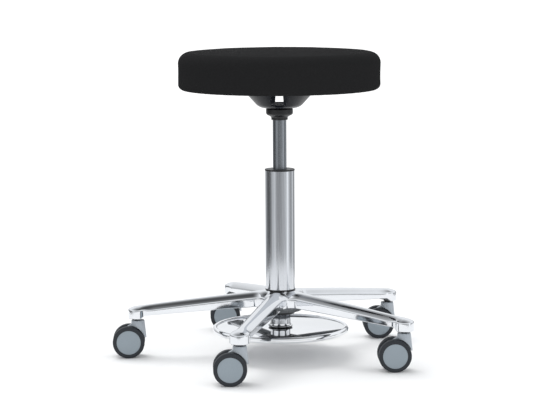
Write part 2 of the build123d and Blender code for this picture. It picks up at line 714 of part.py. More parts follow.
# ---------------------------------------------------------------- casters
def caster(index, spot):
    """One twin-wheel caster: hood with its rib, axle, and two wheels of core and tyre."""
    ground = Plane(origin=(spot[0], spot[1], 0), x_dir=(1, 0, 0), z_dir=(0, 0, 1))
    side_view = Plane(origin=(spot[0], spot[1], 0), x_dir=(1, 0, 0), z_dir=(0, -1, 0))
    reach = wheel_y + wheel_w
    rib_front_r = hood_foot_d / 2 - hood_rim_r * 2
    rib_top_z = wheel_d + clear_gap * 2

    with BuildPart(ground) as hood:
        with Locations((0, 0, hood_foot_z)):
            Cone(hood_foot_d / 2, hood_top_d / 2, hood_top_z - hood_foot_z,
                 align=(Align.CENTER, Align.CENTER, Align.MIN))
        top_rim = hood.edges().group_by(Axis.Z)[-1]
        fillet(top_rim, hood_rim_r)
        with BuildSketch(side_view):
            with Locations((-trail, wheel_r)):
                Circle(wheel_r + clear_gap)
        extrude(amount=2 * reach, both=True, mode=Mode.SUBTRACT)
        with BuildSketch(side_view) as rib_view:
            with BuildLine():
                Polyline(
                    (-trail - rib_back, wheel_r - rib_slope),
                    (-trail - rib_back - rib_slope, wheel_r + rib_high),
                    (-hood_top_d / 2, rib_top_z),
                    (0, rib_top_z),
                    (rib_front_r, hood_foot_z + stem_seat_h),
                    (rib_front_r - rib_slope, hood_foot_z - rib_drop),
                    (-trail + axle_d, wheel_r - rib_low),
                    close=True,
                )
            make_face()
            fillet(rib_view.vertices().sort_by(Axis.X)[:2], rib_bend_r)
        extrude(amount=wheel_y - clear_gap, both=True)
        with BuildSketch(side_view):
            with Locations((-trail, wheel_r)):
                Circle(axle_d / 2 + press_gap)
        extrude(amount=reach, both=True, mode=Mode.SUBTRACT)
        with BuildSketch(ground.offset(stem_z - face_gap)):
            Circle(stem_d / 2 + run_gap)
        extrude(amount=hood_top_z, mode=Mode.SUBTRACT)
    save(hood, f"caster_{index}_hood")

    with BuildPart() as axle:
        with BuildSketch(side_view):
            with Locations((-trail, wheel_r)):
                Circle(axle_d / 2)
        extrude(amount=reach - axle_inset, both=True)
    save(axle, f"caster_{index}_axle")

    for side, out in (("left", 1), ("right", -1)):
        inner_face = Plane(
            origin=(spot[0] - trail, spot[1] + out * wheel_y, wheel_r),
            x_dir=(1, 0, 0),
            z_dir=(0, out, 0),
        )
        with BuildPart() as core:
            with BuildSketch(inner_face):
                Circle(core_d / 2 - press_gap)
            extrude(amount=wheel_w - core_set_in)
            with BuildSketch(inner_face):
                Circle(core_d / 2 - wheel_face_t)
                Circle(axle_d / 2 + wheel_face_t, mode=Mode.SUBTRACT)
            extrude(amount=wheel_w / 2, mode=Mode.SUBTRACT)
            with BuildSketch(inner_face):
                Circle(axle_d / 2 + run_gap)
            extrude(amount=wheel_w - wheel_face_t, mode=Mode.SUBTRACT)
        save(core, f"caster_{index}_{side}_core")
        with BuildPart() as tyre:
            with BuildSketch(inner_face):
                Circle(wheel_r)
            extrude(amount=wheel_w)
            fillet(tyre.edges().filter_by(GeomType.CIRCLE), tyre_edge_r)
            with BuildSketch(inner_face):
                Circle(core_d / 2)
            extrude(amount=wheel_w, mode=Mode.SUBTRACT)
        save(tyre, f"caster_{index}_{side}_tyre")


for number, stem_spot in enumerate(stem_spots, start=1):
    caster(number, stem_spot)
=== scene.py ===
import json
import math

import bmesh
import bpy
from mathutils import Matrix, Vector, noise


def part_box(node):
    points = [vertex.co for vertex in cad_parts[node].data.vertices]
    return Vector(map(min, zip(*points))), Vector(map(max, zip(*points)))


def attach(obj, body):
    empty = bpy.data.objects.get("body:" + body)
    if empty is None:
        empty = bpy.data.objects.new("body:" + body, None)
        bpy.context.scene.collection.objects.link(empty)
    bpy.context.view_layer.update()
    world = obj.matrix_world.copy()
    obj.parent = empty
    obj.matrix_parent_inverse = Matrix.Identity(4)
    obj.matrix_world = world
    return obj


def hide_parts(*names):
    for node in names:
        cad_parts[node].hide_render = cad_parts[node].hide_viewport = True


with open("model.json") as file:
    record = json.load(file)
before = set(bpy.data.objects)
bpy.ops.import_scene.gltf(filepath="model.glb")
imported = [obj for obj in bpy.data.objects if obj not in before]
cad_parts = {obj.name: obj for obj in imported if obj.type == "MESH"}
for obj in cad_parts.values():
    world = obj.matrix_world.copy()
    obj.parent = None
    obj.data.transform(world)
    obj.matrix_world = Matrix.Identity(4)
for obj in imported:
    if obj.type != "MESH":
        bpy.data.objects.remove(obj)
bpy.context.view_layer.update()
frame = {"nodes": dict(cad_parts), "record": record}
nodes = frame["nodes"]
SLOT = {row["node"]: row["material_slot"] for row in frame["record"]["subparts"]}


# ---------------------------------------------------------------- materials
def new_material(name, base, rough, metal=0.0, specular=0.5):
    """A material with its plain values set on the shader itself."""
    mat = bpy.data.materials.new(name)
    mat.use_nodes = True
    shader = mat.node_tree.nodes["Principled BSDF"]
    shader.inputs["Base Color"].default_value = (*base, 1.0)
    shader.inputs["Roughness"].default_value = rough
    shader.inputs["Metallic"].default_value = metal
    shader.inputs["Specular IOR Level"].default_value = specular
    return mat, mat.node_tree, shader


def pattern(tree, scale, detail=3.0, stretch=(1.0, 1.0, 1.0), turn=(0.0, 0.0, 0.0)):
    """Noise laid over the object's own coordinates; stretch gives its run in each direction."""
    coords = tree.nodes.new("ShaderNodeTexCoord")
    mapping = tree.nodes.new("ShaderNodeMapping")
    cloud = tree.nodes.new("ShaderNodeTexNoise")
    mapping.inputs["Scale"].default_value = stretch
    mapping.inputs["Rotation"].default_value = turn
    cloud.inputs["Scale"].default_value = scale
    cloud.inputs["Detail"].default_value = detail
    tree.links.new(coords.outputs["Object"], mapping.inputs["Vector"])
    tree.links.new(mapping.outputs["Vector"], cloud.inputs["Vector"])
    return cloud.outputs["Fac"]


def spread(tree, source, low, high, start=0.3, end=0.7):
    """Turns a pattern into values between low and high."""
    node = tree.nodes.new("ShaderNodeMapRange")
    node.inputs["From Min"].default_value = start
    node.inputs["From Max"].default_value = end
    node.inputs["To Min"].default_value = low
    node.inputs["To Max"].default_value = high
    tree.links.new(source, node.inputs["Value"])
    return node.outputs["Result"]


def fill_ramp(ramp, stops):
    """Gives a new colour ramp its (place, colour) stops, from the first to the last."""
    for index, (place, colour) in enumerate(stops):
        if index == 0:
            stop = ramp.elements[0]
        elif index == len(stops) - 1:
            stop = ramp.elements[len(ramp.elements) - 1]
        else:
            stop = ramp.elements.new(place)
        stop.position = place
        stop.color = (*colour, 1.0)


def tint(tree, source, dark, light):
    """Turns a pattern into colours between dark and light."""
    ramp = tree.nodes.new("ShaderNodeValToRGB")
    fill_ramp(ramp.color_ramp, [(0.35, dark), (0.65, light)])
    tree.links.new(source, ramp.inputs["Fac"])
    return ramp.outputs["Color"]


def relief(tree, shader, source, height, strength=1.0):
    """Bump of a given height in metres."""
    bump = tree.nodes.new("ShaderNodeBump")
    bump.inputs["Distance"].default_value = height
    bump.inputs["Strength"].default_value = strength
    tree.links.new(source, bump.inputs["Height"])
    tree.links.new(bump.outputs["Normal"], shader.inputs["Normal"])
    return bump


def shade(base, share):
    """A darker tone of a colour."""
    return tuple(c * share for c in base)


def polished_metal(name, base, rough, waviness):
    """Mirror-like metal, slightly hazy and wavy, with faint strokes from the polishing wheel."""
    mat, tree, shader = new_material(name, base, rough, metal=1.0)
    haze = pattern(tree, 18.0, 4.0)
    tree.links.new(spread(tree, haze, rough * 0.7, rough * 1.5), shader.inputs["Roughness"])
    tree.links.new(tint(tree, haze, shade(base, 0.97), base), shader.inputs["Base Color"])
    first = relief(tree, shader, pattern(tree, 26.0, 1.0), waviness)
    streaks = tree.nodes.new("ShaderNodeBump")
    streaks.inputs["Distance"].default_value = waviness * 0.3
    streaks.inputs["Strength"].default_value = 0.6
    strokes = pattern(tree, 160.0, 1.0, (1.0, 0.12, 1.0), (0.0, 0.0, 0.7))
    tree.links.new(strokes, streaks.inputs["Height"])
    tree.links.new(first.outputs["Normal"], streaks.inputs["Normal"])
    tree.links.new(streaks.outputs["Normal"], shader.inputs["Normal"])
    return mat


def brushed_metal(name, base, rough, grain, stretch):
    """Metal ground along Z in fine lines."""
    mat, tree, shader = new_material(name, base, rough, metal=1.0)
    lines = pattern(tree, grain, 4.0, stretch)
    tree.links.new(spread(tree, lines, rough * 0.75, rough * 1.35), shader.inputs["Roughness"])
    tree.links.new(tint(tree, lines, shade(base, 0.86), base), shader.inputs["Base Color"])
    relief(tree, shader, lines, 0.00004, 0.5)
    # grain runs along Z, so reflections spread round the tube
    shader.inputs["Anisotropic"].default_value = 0.85
    shader.inputs["Anisotropic Rotation"].default_value = 0.25
    tangent = tree.nodes.new("ShaderNodeTangent")
    tangent.direction_type = "RADIAL"
    tangent.axis = "Z"
    tree.links.new(tangent.outputs["Tangent"], shader.inputs["Tangent"])
    return mat


def plastic(name, base, rough, grain=1400.0, height=0.00002, specular=0.5):
    """Plain surface with a fine grain: plastic, paint, rubber, wood or cloth."""
    mat, tree, shader = new_material(name, base, rough, specular=specular)
    grains = pattern(tree, grain, 2.0)
    tree.links.new(spread(tree, pattern(tree, 40.0), rough * 0.9, rough * 1.15), shader.inputs["Roughness"])
    tree.links.new(tint(tree, grains, shade(base, 0.93), base), shader.inputs["Base Color"])
    relief(tree, shader, grains, height, 0.5)
    return mat


def leather(name, base, rough):
    """Dull leather with small cells parted by shallow creases."""
    mat, tree, shader = new_material(name, base, rough, specular=0.003)
    coords = tree.nodes.new("ShaderNodeTexCoord")
    cells = tree.nodes.new("ShaderNodeTexVoronoi")
    cells.feature = "DISTANCE_TO_EDGE"
    cells.inputs["Scale"].default_value = 900.0
    tree.links.new(coords.outputs["Object"], cells.inputs["Vector"])
    creases = spread(tree, cells.outputs["Distance"], 0.0, 1.0, 0.0, 0.25)
    tree.links.new(spread(tree, pattern(tree, 9.0), rough * 0.92, rough * 1.08), shader.inputs["Roughness"])
    tree.links.new(tint(tree, pattern(tree, 300.0), shade(base, 0.9), base), shader.inputs["Base Color"])
    relief(tree, shader, creases, 0.00006, 0.35)
    return mat


materials = {
    "cast_aluminium": polished_metal("polished_casting", (0.79, 0.805, 0.83), 0.06, 0.00005),
    "cast_raw": plastic("raw_casting", (0.20, 0.21, 0.22), 0.55, 300.0, 0.00008),
    "column_steel": brushed_metal("brushed_tube", (0.70, 0.72, 0.755), 0.12, 900.0, (1.0, 1.0, 0.01)),
    "cylinder_steel": brushed_metal("ground_cylinder", (0.30, 0.32, 0.345), 0.22, 900.0, (1.0, 1.0, 0.02)),
    "disc_polish": polished_metal("polished_disc", (0.90, 0.91, 0.93), 0.03, 0.00002),
    "stub_chrome": polished_metal("stub_chrome", (0.82, 0.83, 0.85), 0.05, 0.00001),
    "dark_steel": plastic("dark_steel", (0.02, 0.021, 0.024), 0.35),
    "black_steel": plastic("black_steel", (0.012, 0.012, 0.013), 0.4),
    "bearing_steel": polished_metal("bearing_steel", (0.6, 0.61, 0.63), 0.15, 0.00001),
    "rod_steel": brushed_metal("rod_steel", (0.65, 0.66, 0.68), 0.15, 900.0, (1.0, 1.0, 0.05)),
    "bowl_paint": plastic("bowl_paint", (0.005, 0.006, 0.009), 0.17, 500.0, 0.000015, specular=0.24),
    "black_plastic": plastic("black_plastic", (0.008, 0.008, 0.009), 0.38),
    "bush_plastic": plastic("bush_plastic", (0.7, 0.69, 0.64), 0.5),
    "seal_rubber": plastic("seal_rubber", (0.012, 0.012, 0.012), 0.7),
    "plywood": plastic("plywood", (0.5, 0.36, 0.2), 0.7, 60.0, 0.0001),
    "foam": plastic("foam", (0.8, 0.72, 0.45), 0.9, 900.0, 0.0003),
    "seat_leather": leather("seat_leather", (0.0212, 0.0212, 0.0218), 0.72),
    "underside_fabric": plastic("underside_fabric", (0.01, 0.01, 0.01), 0.9, 900.0, 0.0001),
    "hood_plastic": plastic("hood_plastic", (0.42, 0.46, 0.50), 0.35),
    "wheel_core": plastic("wheel_core", (0.30, 0.35, 0.39), 0.5),
    "tyre": plastic("tyre_rubber", (0.032, 0.036, 0.042), 0.6, specular=0.25),
}
for node_name, node in nodes.items():
    node.data.materials.clear()
    node.data.materials.append(materials[SLOT[node_name]])


# ---------------------------------------------------------------- turned pieces
MM = 0.001
MERGE = 1e-6             # points closer than this are one point, in metres
FULL_TURN = 2 * math.pi


def rounded(corners, steps=6):
    """Outline through (radius, height, rounding) corners in mm, each rounding drawn as an arc."""
    points = []
    count = len(corners)
    for index, (r, z, bend) in enumerate(corners):
        here = Vector((r, z))
        if bend <= 0.0:
            points.append(here)
            continue
        before = Vector(corners[index - 1][:2]) - here
        after = Vector(corners[(index + 1) % count][:2]) - here
        half = before.angle(after) / 2
        set_back = min(bend / math.tan(half), 0.49 * before.length, 0.49 * after.length)
        middle = here + (before.normalized() + after.normalized()).normalized() * (set_back / math.cos(half))
        first = here + before.normalized() * set_back - middle
        last = here + after.normalized() * set_back - middle
        sweep = first.angle_signed(last)
        for step in range(steps + 1):
            swung = first.copy()
            swung.rotate(Matrix.Rotation(-sweep * step / steps, 2))
            points.append(middle + swung)
    return points


def turned(outline, segments, closed=False):
    """Surface made by turning an outline in mm round the column's axis."""
    bm = bmesh.new()
    verts = [bm.verts.new((p[0] * MM, 0.0, p[1] * MM)) for p in outline]
    edges = [bm.edges.new(pair) for pair in zip(verts, verts[1:])]
    if closed:
        edges.append(bm.edges.new((verts[-1], verts[0])))
    bmesh.ops.spin(bm, geom=verts + edges, cent=(0, 0, 0), axis=(0, 0, 1), angle=FULL_TURN,
                   steps=segments, use_merge=True)
    return bm


def finish_mesh(bm, name, mats, sharp=40.0):
    """Merges, turns normals outward, keeps edges sharper than the given angle, and makes the object."""
    bmesh.ops.remove_doubles(bm, verts=bm.verts, dist=MERGE)
    bmesh.ops.recalc_face_normals(bm, faces=bm.faces)
    for face in bm.faces:
        face.smooth = True
    for edge in bm.edges:
        if len(edge.link_faces) == 2 and edge.calc_face_angle(0.0) > math.radians(sharp):
            edge.smooth = False
    mesh = bpy.data.meshes.new(name)
    bm.to_mesh(mesh)
    bm.free()
    for mat in mats:
        mesh.materials.append(mat)
    obj = bpy.data.objects.new(name, mesh)
    bpy.context.scene.collection.objects.link(obj)
    return obj


def put_in_frame(obj, body, nodes_replaced):
    """Rides a piece on its body and hides the CAD nodes it stands for."""
    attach(obj, body)
    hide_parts(*nodes_replaced)


def spun(name, outline, slot_name, body, nodes_replaced, segments=128):
    """Closed turned piece from an outline in mm; a first and last point on the axis close it there."""
    bm = turned(outline, segments, closed=outline[0][0] > 0.0)
    obj = finish_mesh(bm, name, [materials[slot_name]])
    put_in_frame(obj, body, nodes_replaced)
    return obj


def cad(node):
    """Lowest and highest corner of a CAD node in mm."""
    low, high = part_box(node)
    return low / MM, high / MM


def cad_radius(node):
    """Half the width of a round CAD node in mm."""
    low, high = cad(node)
    return (high.x - low.x) / 2


def tube_outline(node, bore, edge):
    """Outline of a plain ring that fills a node's box outside the bore."""
    low, high = cad(node)
    outer = cad_radius(node)
    return rounded([(bore, low.z, 0.0), (outer, low.z, edge), (outer, high.z, edge), (bore, high.z, 0.0)])


# ---------------------------------------------------------------- column and gas lift
def column_pieces():
    """Tube of the column, the band under it and the lip that closes it round the cylinder."""
    tube_bore, band_bore, lip_bore = 28.0, 25.2, 14.8
    fine = 192
    spun("column_shell", tube_outline("column_tube", tube_bore, 0.4), "column_steel", "base",
         ["column_tube"], fine)
    spun("trim_band", tube_outline("trim_ring", band_bore, 0.7), SLOT["trim_ring"], "base", ["trim_ring"])
    low, high = cad("column_cap")
    lip_r = cad_radius("column_cap")
    plug_r = tube_bore - 0.1
    lip_z = cad("column_tube")[1].z + 0.05
    spun("column_lip", rounded([
        (lip_bore, low.z, 0.0), (plug_r, low.z, 0.5), (plug_r, lip_z, 0.0), (lip_r, lip_z, 0.3),
        (lip_r, high.z, 0.9), (lip_bore + 1.4, high.z, 0.5), (lip_bore, high.z - 1.2, 0.3),
    ]), SLOT["column_cap"], "base", ["column_cap"])


def seat_post():
    """Gas cylinder with its cone in the socket, and the stepped collar round both."""
    low, high = cad("gas_cylinder")
    cone_z = cad("mount_socket")[0].z
    bore_r, outer_r, cone_end_r = 12.5, 14.0, 13.2
    spun("gas_cylinder_shell", rounded([
        (bore_r, low.z, 0.0), (outer_r, low.z, 0.6), (outer_r, cone_z, 0.0), (cone_end_r, high.z, 0.8),
        (0.0, high.z, 0.0), (0.0, cone_z, 0.0), (bore_r, cone_z, 0.0),
    ]), "cylinder_steel", "seat", ["gas_cylinder"])
    low, high = cad("mount_collar")
    wide = cad_radius("mount_collar")
    neck_bore, neck_r, step_r, socket_bore = 14.2, 16.8, 17.9, 18.3
    spun("collar_body", rounded([
        (neck_bore, low.z, 0.4), (neck_r, low.z, 0.8), (neck_r, low.z + 4.6, 1.2), (step_r, low.z + 6.6, 1.6),
        (wide - 1.6, low.z + 10.6, 2.5), (wide, low.z + 13.2, 2.2), (wide, high.z - 0.6, 1.6),
        (wide - 2.2, high.z, 0.8), (socket_bore, high.z, 0.0), (socket_bore, low.z + 9.0, 0.0),
        (neck_bore, low.z + 7.8, 0.0),
    ], 8), SLOT["mount_collar"], "seat", ["mount_collar"])


# ---------------------------------------------------------------- foot release
def foot_disc():
    """Polished disc: a level plate, a small bend up, and a rim rolled over to the underside."""
    low, high = cad("foot_disc")
    rim_extra, plate_drop, sheet = 0.9, 2.6, 2.5
    bend_r, bend_sweep = 1.5, 56.0
    rim_r = (high.z - low.z) / 2 + rim_extra
    top = high.z + rim_extra
    rim_z = low.z - rim_extra + rim_r
    plate_z = top - plate_drop
    rim_middle = cad_radius("foot_disc") - rim_r
    plate_r = rim_middle - 3.4

    def round_rim(radius, turn, squeeze=1.0):
        return Vector((rim_middle + radius * math.sin(turn) * squeeze, rim_z + radius * math.cos(turn)))

    outline = [Vector((0.0, plate_z)), Vector((plate_r - 5.6, plate_z)), Vector((plate_r, plate_z))]
    for step in range(1, 9):
        turn = math.radians(bend_sweep * step / 8)
        outline.append(Vector((plate_r + bend_r * math.sin(turn), plate_z + bend_r * (1 - math.cos(turn)))))
    for step in range(5, 0, -1):
        outline.append(round_rim(rim_r, -math.radians(6.0 * step), 0.8))
    outline.append(Vector((rim_middle, top)))
    for step in range(1, 17):
        outline.append(round_rim(rim_r, math.pi * step / 16))
    for step in range(11):
        outline.append(round_rim(rim_r - sheet, math.pi * (1 - step / 10)))
    outline.append(Vector((0.0, top - sheet)))
    spun("disc_shell", outline, "disc_polish", "foot_plate", ["foot_disc"], 256)


def disc_stub():
    """Chrome stub on the disc, with a flared foot below and a flange above, and its gasket."""
    low, high = cad("disc_stub")
    core_r, stub_r, foot_r, flange_r = 8.0, 20.5, 25.2, 26.0
    core_z, flange_z = low.z + 24.0, high.z - 3.0
    spun("stub_body", rounded([
        (0.0, core_z, 0.0), (core_r, core_z, 0.0), (core_r, low.z, 0.0), (foot_r, low.z, 0.3),
        (foot_r, low.z + 0.8, 0.4), (stub_r + 1.5, low.z + 1.6, 2.0), (stub_r, low.z + 5.0, 6.0),
        (stub_r, flange_z, 0.8), (flange_r, flange_z, 0.5), (flange_r, high.z, 0.5), (0.0, high.z, 0.0),
    ], 8), SLOT["disc_stub"], "foot_plate", ["disc_stub"])
    gasket_bore, gasket_r, gasket_z = 9.0, foot_r - 0.8, low.z - 1.5
    spun("stub_gasket", rounded([
        (gasket_bore, gasket_z, 0.0), (gasket_r, gasket_z, 0.2), (gasket_r, low.z, 0.2),
        (gasket_bore, low.z, 0.0),
    ]), SLOT["stub_washer"], "foot_plate", ["stub_washer"])


def release_housing():
    """Short dark cup under the hub, with the ledge that holds the stub's flange."""
    low, high = cad("foot_housing")
    outer, bore, wall = cad_radius("foot_housing"), 23.0, 2.0
    ledge_z = low.z + 4.2
    spun("housing_cup", rounded([
        (bore, low.z, 0.5), (outer, low.z, 1.2), (outer, high.z, 0.4), (outer - wall, high.z, 0.4),
        (outer - wall, ledge_z, 0.8), (bore, ledge_z, 0.5),
    ]), SLOT["foot_housing"], "base", ["foot_housing"])


# ---------------------------------------------------------------- bowl under the seat
WINDOW_LOW, WINDOW_HIGH = 516.0, 542.0
WINDOW_HALF = 12.5
WINDOW_TURN = math.radians(82.8)


def bowl_line(floor_z, rim_z):
    """Half section of the bowl's sheet in short steps, with points at the windows' lower and upper edge."""
    line = rounded([(18.4, floor_z, 0.0), (40.1, floor_z, 24.0), (73.5, rim_z, 4.0), (88.0, rim_z, 0.0)], 10)
    longest_step, clear = 3.0, 0.05
    dense = [line[0]]
    for start, end in zip(line, line[1:]):
        cuts = [(level - start.y) / (end.y - start.y) for level in (WINDOW_LOW, WINDOW_HIGH)
                if start.y + clear < level < end.y - clear]
        pieces = max(1, round((end - start).length / longest_step))
        even = [k / pieces for k in range(1, pieces + 1) if all(abs(k / pieces - cut) > 0.03 for cut in cuts)]
        dense += [start.lerp(end, share) for share in sorted(cuts + even)]
    return dense


def draw_to_windows(bm, columns, held, floor_z):
    """Shifts the bowl's columns of points sideways until one stands upright on each window's edge."""
    window_share = held * FULL_TURN / columns
    quarter = math.pi / 2
    for vert in bm.verts:
        radius = math.hypot(vert.co.x, vert.co.y)
        turn = math.atan2(vert.co.y, vert.co.x)
        side = round(turn / math.pi)
        off = turn - side * math.pi
        window_edge = math.asin(min(1.0, WINDOW_HALF * MM / radius))
        if abs(off) <= window_share:
            bent = off / window_share * window_edge
        else:
            rest = (abs(off) - window_share) / (quarter - window_share)
            bent = math.copysign(window_edge + rest * (quarter - window_edge), off)
        blend = min(1.0, max(0.0, (vert.co.z / MM - floor_z - 1.0) / 4.0))
        turn = side * math.pi + off + (bent - off) * blend + WINDOW_TURN
        vert.co.x = radius * math.cos(turn)
        vert.co.y = radius * math.sin(turn)


def in_window(face):
    """Whether a face of the bowl's wall lies in one of the two windows."""
    middle = face.calc_center_median() / MM
    along = middle.x * math.cos(WINDOW_TURN) + middle.y * math.sin(WINDOW_TURN)
    across = -middle.x * math.sin(WINDOW_TURN) + middle.y * math.cos(WINDOW_TURN)
    level = WINDOW_LOW - 0.02 < middle.z < WINDOW_HIGH + 0.02
    return level and abs(across) < WINDOW_HALF - 0.01 and abs(along) > 20.0


def seat_bowl():
    """Pressed bowl: a turned sheet with two windows facing each other, thickened, its edges rounded."""
    low, high = cad("mount_bowl")
    sheet = 2.5
    floor_z = low.z + sheet / 2
    columns, held = 192, 10
    bm = turned(bowl_line(floor_z, high.z - sheet / 2), columns)
    bmesh.ops.remove_doubles(bm, verts=bm.verts, dist=MERGE)
    draw_to_windows(bm, columns, held, floor_z)
    bmesh.ops.delete(bm, geom=[face for face in bm.faces if in_window(face)], context="FACES")
    obj = finish_mesh(bm, "bowl_sheet", [materials[SLOT["mount_bowl"]]], 60.0)
    thick = obj.modifiers.new("thickness", "SOLIDIFY")
    thick.thickness = sheet * MM
    thick.offset = 0.0
    thick.use_even_offset = True
    edge = obj.modifiers.new("edge", "BEVEL")
    edge.width = 0.6 * MM
    edge.segments = 3
    edge.limit_method = "ANGLE"
    edge.angle_limit = math.radians(50)
    put_in_frame(obj, "seat", ["mount_bowl"])


# ---------------------------------------------------------------- cast star
ARM_COUNT = 5
HALF_ARM = math.pi / ARM_COUNT
ARM_END = 292.0          # from the column to the middle of an arm's boss
BOSS_R = 18.5
RING_R = 31.0            # rim of the hub round the column
HUB_TOP, HUB_BOTTOM, BOSS_BOTTOM = 135.5, 93.0, 79.9
SHOULDER_DROP = 9.3      # from an arm's crest to its shoulder
SHOULDER_R = 4.6
SHOULDER_START, SHOULDER_END = math.radians(47.0), math.radians(89.0)
LOWER_EDGE_R = 1.4
HUB_ROWS = 9             # rows of points on the hub, before the arm's edge starts
STAR_MERGE = 2e-5


def smooth(low, high, value):
    """Eased step from 0 at low to 1 at high."""
    share = min(1.0, max(0.0, (value - low) / (high - low)))
    return share * share * (3 - 2 * share)


def half_width(u):
    """Half an arm's width at a distance from the column."""
    return 18.6 - 3.9 * u / ARM_END


def crest_level(r):
    """Height of an arm's crest line at a distance from the column."""
    share = (r - RING_R) / (312.0 - RING_R)
    line = 134.6 - 26.6 * share - 5.4 * share * share
    return line + 0.9 * math.exp(-(r - RING_R) / 6.0)


def low_level(r):
    """Height of an arm's lower edge: web, arm, then the boss that hangs lower."""
    out = r - 51.0
    line = 103.0 - 0.0642 * out - 0.000035 * out * out
    return line + (BOSS_BOTTOM - line) * smooth(281.0, 286.5, r)


def edge_path():
    """Plan of half an arm's edge from the web's middle to the tip of the boss, in mm along and across."""
    web_bend, web_steps, arm_steps, boss_steps = 23.0, 12, 40, 16
    centre = (half_width(60.0) + web_bend) / math.sin(HALF_ARM)
    middle = Vector((centre * math.cos(HALF_ARM), centre * math.sin(HALF_ARM)))
    path = []
    first = math.pi + HALF_ARM
    last = 1.5 * math.pi - math.radians(0.8)
    for step in range(web_steps + 1):
        turn = first + (last - first) * step / web_steps
        path.append(middle + Vector((math.cos(turn), math.sin(turn))) * web_bend)
    neck = ARM_END - BOSS_R * 0.75
    start = path[-1].x
    for step in range(1, arm_steps + 1):
        u = start + (neck - start) * step / arm_steps
        path.append(Vector((u, half_width(u))))
    join = math.acos((neck + 6.0 - ARM_END) / BOSS_R)
    for step in range(boss_steps + 1):
        turn = join * (1 - step / boss_steps)
        path.append(Vector((ARM_END + BOSS_R * math.cos(turn), BOSS_R * math.sin(turn))))
    path[-1].y = 0.0
    return path


def star_half(bm, low_side):
    """Upper or lower skin of half an arm, from the crest line (column 0) to its edge.

    Gives each point by row and column, with its spot in plan and its share from crest to edge.
    """
    path = edge_path()
    rows = HUB_ROWS + len(path)
    columns = 26 if low_side else 20
    made = bmesh.ops.create_grid(bm, x_segments=rows - 1, y_segments=columns - 1, size=0.5)["verts"]
    corner = path[0]
    bore_r = 28.6 if low_side else 27.5
    crest_start, crest_end = corner.length + 2.0, ARM_END - 4.0
    placed = []
    for vert in made:
        row = round((vert.co.x + 0.5) * (rows - 1))
        column = round((vert.co.y + 0.5) * (columns - 1))
        if row < HUB_ROWS:
            share = row / HUB_ROWS
            radius = bore_r + (corner.length - bore_r) * share
            edge = Vector((radius * math.cos(HALF_ARM), radius * math.sin(HALF_ARM)))
            crest_u = bore_r + (crest_start - bore_r) * share
        else:
            edge = path[row - HUB_ROWS]
            share = min(1.0, max(0.0, (edge.x - corner.x) / (ARM_END - corner.x)))
            crest_u = crest_start + (crest_end - crest_start) * share
        f = column / (columns - 1)
        if low_side:
            f = f + 0.10 * math.sin(FULL_TURN * f) * (1 - f)
        straight = Vector((crest_u, 0.0)).lerp(edge, f)
        turn = f * math.atan2(edge.y, edge.x)
        radius = crest_u + (edge.length - crest_u) * f
        arc = Vector((radius * math.cos(turn), radius * math.sin(turn)))
        spot = arc.lerp(straight, smooth(34.0, 70.0, crest_u))
        at_edge = column == columns - 1 and row >= HUB_ROWS
        placed.append((vert, row, at_edge, spot, f))
    return placed


def crown(f):
    """Fall from crest to shoulder across an arm, slow in the middle and steeper towards the edge."""
    return 0.1 * f + 0.9 * f ** 2.2


def upper_skin(bm):
    """Crowned top of half an arm; gives the points along its shoulder, from web to boss."""
    shoulder = []
    for vert, row, at_edge, spot, f in star_half(bm, False):
        r = spot.length
        grow = 1.0 if row >= HUB_ROWS else 1.0 - (1.0 - row / HUB_ROWS) ** 2.2
        level = HUB_TOP
        if r >= RING_R:
            fall = SHOULDER_DROP - 3.2 * smooth(262.0, 286.0, spot.x)
            level = min(HUB_TOP, crest_level(min(r, ARM_END)) - fall * crown(f) * grow)
        vert.co = (spot.x * MM, spot.y * MM, level * MM)
        if at_edge:
            shoulder.append((row, vert))
    shoulder.sort(key=lambda pair: pair[0])
    return [vert for row, vert in shoulder]


def outward_ways(shoulder):
    """Direction in plan that points away from the arm at each point of its shoulder."""
    ways = []
    for index in range(len(shoulder)):
        before = shoulder[max(0, index - 1)].co
        after = shoulder[min(len(shoulder) - 1, index + 1)].co
        run = Vector((after.x - before.x, after.y - before.y))
        ways.append(Vector((-run.y, run.x)).normalized())
    ways[0] = Vector((math.cos(HALF_ARM), math.sin(HALF_ARM)))
    ways[-1] = Vector((1.0, 0.0))
    return ways


